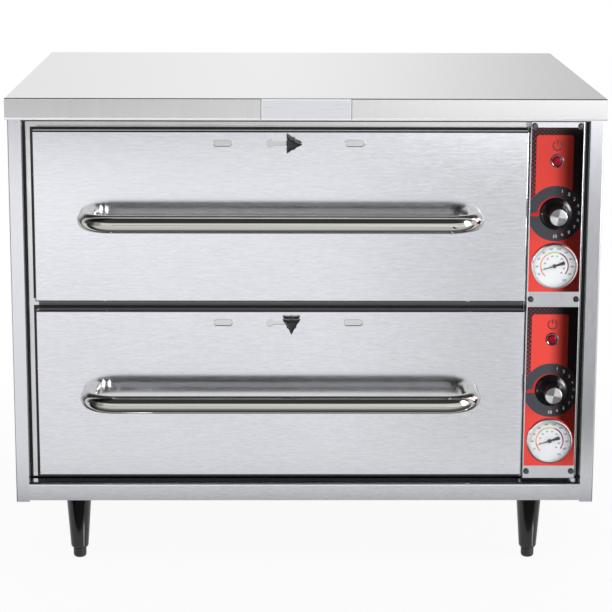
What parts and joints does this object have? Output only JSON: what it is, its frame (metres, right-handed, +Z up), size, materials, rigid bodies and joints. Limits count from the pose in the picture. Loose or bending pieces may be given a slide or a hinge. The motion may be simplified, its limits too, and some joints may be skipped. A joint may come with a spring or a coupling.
{
  "type": "countertop warming drawer",
  "caption": "Freestanding countertop food warmer: two stacked insulated drawers with bar handles, controls at the right, on tapered adjustable legs.",
  "frame": {"origin": "centre of the whole outline on the counter, at the level of the feet", "axes": "+X to the right seen from the front, +Y to the back, +Z up; the drawers open towards -Y"},
  "size_m": [0.74, 0.6514, 0.618],
  "materials": {
    "cover_steel": "brushed, grain left to right",
    "side_steel": "brushed, grain up and down",
    "front_steel": "brushed, grain left to right",
    "frame_steel": "plain mill finish",
    "inner_steel": "bright aluminised sheet",
    "panel_steel": "brushed, bright edges",
    "plate_silver": "satin, thin raised border",
    "tube_polished": "polished tube",
    "pan_steel": "polished, deep drawn",
    "slide_steel": "plain stainless",
    "screw_steel": "plain",
    "screw_black": "black oxide",
    "label_red": "gloss red field, black edges, white figures",
    "knob_black": "moulded, silver cap",
    "bezel_chrome": "bright",
    "lens_red": "clear red",
    "dial_white": "printed scale",
    "glass_clear": "clear",
    "needle_black": "matt",
    "leg_black": "gloss black",
    "foot_black": "moulded",
    "gland_black": "moulded nylon",
    "wool": "mineral wool",
    "element_dark": "oxidised metal sheath",
    "thermostat_metal": "plated housing",
    "terminal_white": "moulded"
  },
  "bodies": {
    "cabinet": {"top_cover": "cover_steel", "left_side_panel": "side_steel", "right_side_panel": "side_steel", "back_panel": "side_steel", "base_pan": "inner_steel", "front_rail": "front_steel", "face_frame": "frame_steel", "name_plate": "plate_silver", "control_panel": "panel_steel", "control_labels": "label_red", "control_panel_screws": "screw_black", "upper_cavity_liner": "inner_steel", "lower_cavity_liner": "inner_steel", "cabinet_insulation": "wool", "heating_elements": "element_dark", "element_clips": "frame_steel", "thermostats": "thermostat_metal", "pilot_lamp_bodies": "bezel_chrome", "pilot_lamp_lenses": "lens_red", "thermometer_cases": "bezel_chrome", "thermometer_dials": "dial_white", "thermometer_glasses": "glass_clear", "legs": "leg_black", "leg_plates": "frame_steel", "cable_gland": "gland_black", "terminal_block": "terminal_white", "cabinet_screws": "screw_steel", "slide_outer_members": "slide_steel"},
    "front_left_foot": {"front_left_foot": "foot_black"},
    "front_right_foot": {"front_right_foot": "foot_black"},
    "rear_left_foot": {"rear_left_foot": "foot_black"},
    "rear_right_foot": {"rear_right_foot": "foot_black"},
    "upper_drawer": {"upper_drawer_front": "front_steel", "upper_drawer_inner_panel": "frame_steel", "upper_drawer_insulation": "wool", "upper_drawer_handle": "tube_polished", "upper_drawer_screws": "screw_steel", "upper_drawer_frame": "frame_steel", "upper_food_pan": "pan_steel", "upper_slide_inner_members": "slide_steel"},
    "upper_slide_middle": {"upper_slide_middle_members": "slide_steel"},
    "upper_damper": {"upper_vent_damper": "frame_steel"},
    "upper_damper_knob": {"upper_vent_knob": "knob_black"},
    "upper_knob": {"upper_thermostat_knob": "knob_black", "upper_thermostat_spindle": "slide_steel"},
    "upper_needle": {"upper_thermometer_needle": "needle_black"},
    "lower_drawer": {"lower_drawer_front": "front_steel", "lower_drawer_inner_panel": "frame_steel", "lower_drawer_insulation": "wool", "lower_drawer_handle": "tube_polished", "lower_drawer_screws": "screw_steel", "lower_drawer_frame": "frame_steel", "lower_food_pan": "pan_steel", "lower_slide_inner_members": "slide_steel"},
    "lower_slide_middle": {"lower_slide_middle_members": "slide_steel"},
    "lower_damper": {"lower_vent_damper": "frame_steel"},
    "lower_damper_knob": {"lower_vent_knob": "knob_black"},
    "lower_knob": {"lower_thermostat_knob": "knob_black", "lower_thermostat_spindle": "slide_steel"},
    "lower_needle": {"lower_thermometer_needle": "needle_black"}
  },
  "joints": [
    {"name": "upper_drawer_slide", "type": "slide", "parent": "cabinet", "child": "upper_drawer", "axis": [0, -1, 0], "range_m": [0, 0.4]},
    {"name": "upper_middle_slide", "type": "slide", "parent": "cabinet", "child": "upper_slide_middle", "axis": [0, -1, 0], "range_m": [0, 0.2]},
    {"name": "upper_damper_slide", "type": "slide", "parent": "upper_drawer", "child": "upper_damper", "axis": [1, 0, 0], "range_m": [-0.0268, 0]},
    {"name": "upper_damper_knob_turn", "type": "hinge", "parent": "upper_damper", "child": "upper_damper_knob", "pos_m": [-0.01785, -0.2693, 0.5622], "axis": [0, -1, 0], "range_deg": [0, 180]},
    {"name": "upper_thermostat_turn", "type": "hinge", "parent": "cabinet", "child": "upper_knob", "pos_m": [0.3098, -0.2763, 0.4751], "axis": [0, 1, 0], "range_deg": [0, 270]},
    {"name": "upper_needle_swing", "type": "hinge", "parent": "cabinet", "child": "upper_needle", "pos_m": [0.3098, -0.2633, 0.4092], "axis": [0, 1, 0], "range_deg": [-31, 234]},
    {"name": "lower_drawer_slide", "type": "slide", "parent": "cabinet", "child": "lower_drawer", "axis": [0, -1, 0], "range_m": [0, 0.4]},
    {"name": "lower_middle_slide", "type": "slide", "parent": "cabinet", "child": "lower_slide_middle", "axis": [0, -1, 0], "range_m": [0, 0.2]},
    {"name": "lower_damper_slide", "type": "slide", "parent": "lower_drawer", "child": "lower_damper", "axis": [1, 0, 0], "range_m": [-0.0268, 0]},
    {"name": "lower_damper_knob_turn", "type": "hinge", "parent": "lower_damper", "child": "lower_damper_knob", "pos_m": [-0.01785, -0.2693, 0.3362], "axis": [0, -1, 0], "range_deg": [0, 180]},
    {"name": "lower_thermostat_turn", "type": "hinge", "parent": "cabinet", "child": "lower_knob", "pos_m": [0.3098, -0.2763, 0.2491], "axis": [0, 1, 0], "range_deg": [0, 270]},
    {"name": "lower_needle_swing", "type": "hinge", "parent": "cabinet", "child": "lower_needle", "pos_m": [0.3098, -0.2633, 0.1832], "axis": [0, 1, 0], "range_deg": [-31, 234]},
    {"name": "front_left_foot_adjust", "type": "slide", "parent": "cabinet", "child": "front_left_foot", "axis": [0, 0, -1], "range_m": [0, 0.02]},
    {"name": "front_right_foot_adjust", "type": "slide", "parent": "cabinet", "child": "front_right_foot", "axis": [0, 0, -1], "range_m": [0, 0.02]},
    {"name": "rear_left_foot_adjust", "type": "slide", "parent": "cabinet", "child": "rear_left_foot", "axis": [0, 0, -1], "range_m": [0, 0.02]},
    {"name": "rear_right_foot_adjust", "type": "slide", "parent": "cabinet", "child": "rear_right_foot", "axis": [0, 0, -1], "range_m": [0, 0.02]}
  ],
  "couplings": [
    {"joint": "upper_middle_slide", "follows": "upper_drawer_slide", "ratio": 0.5},
    {"joint": "lower_middle_slide", "follows": "lower_drawer_slide", "ratio": 0.5}
  ]
}
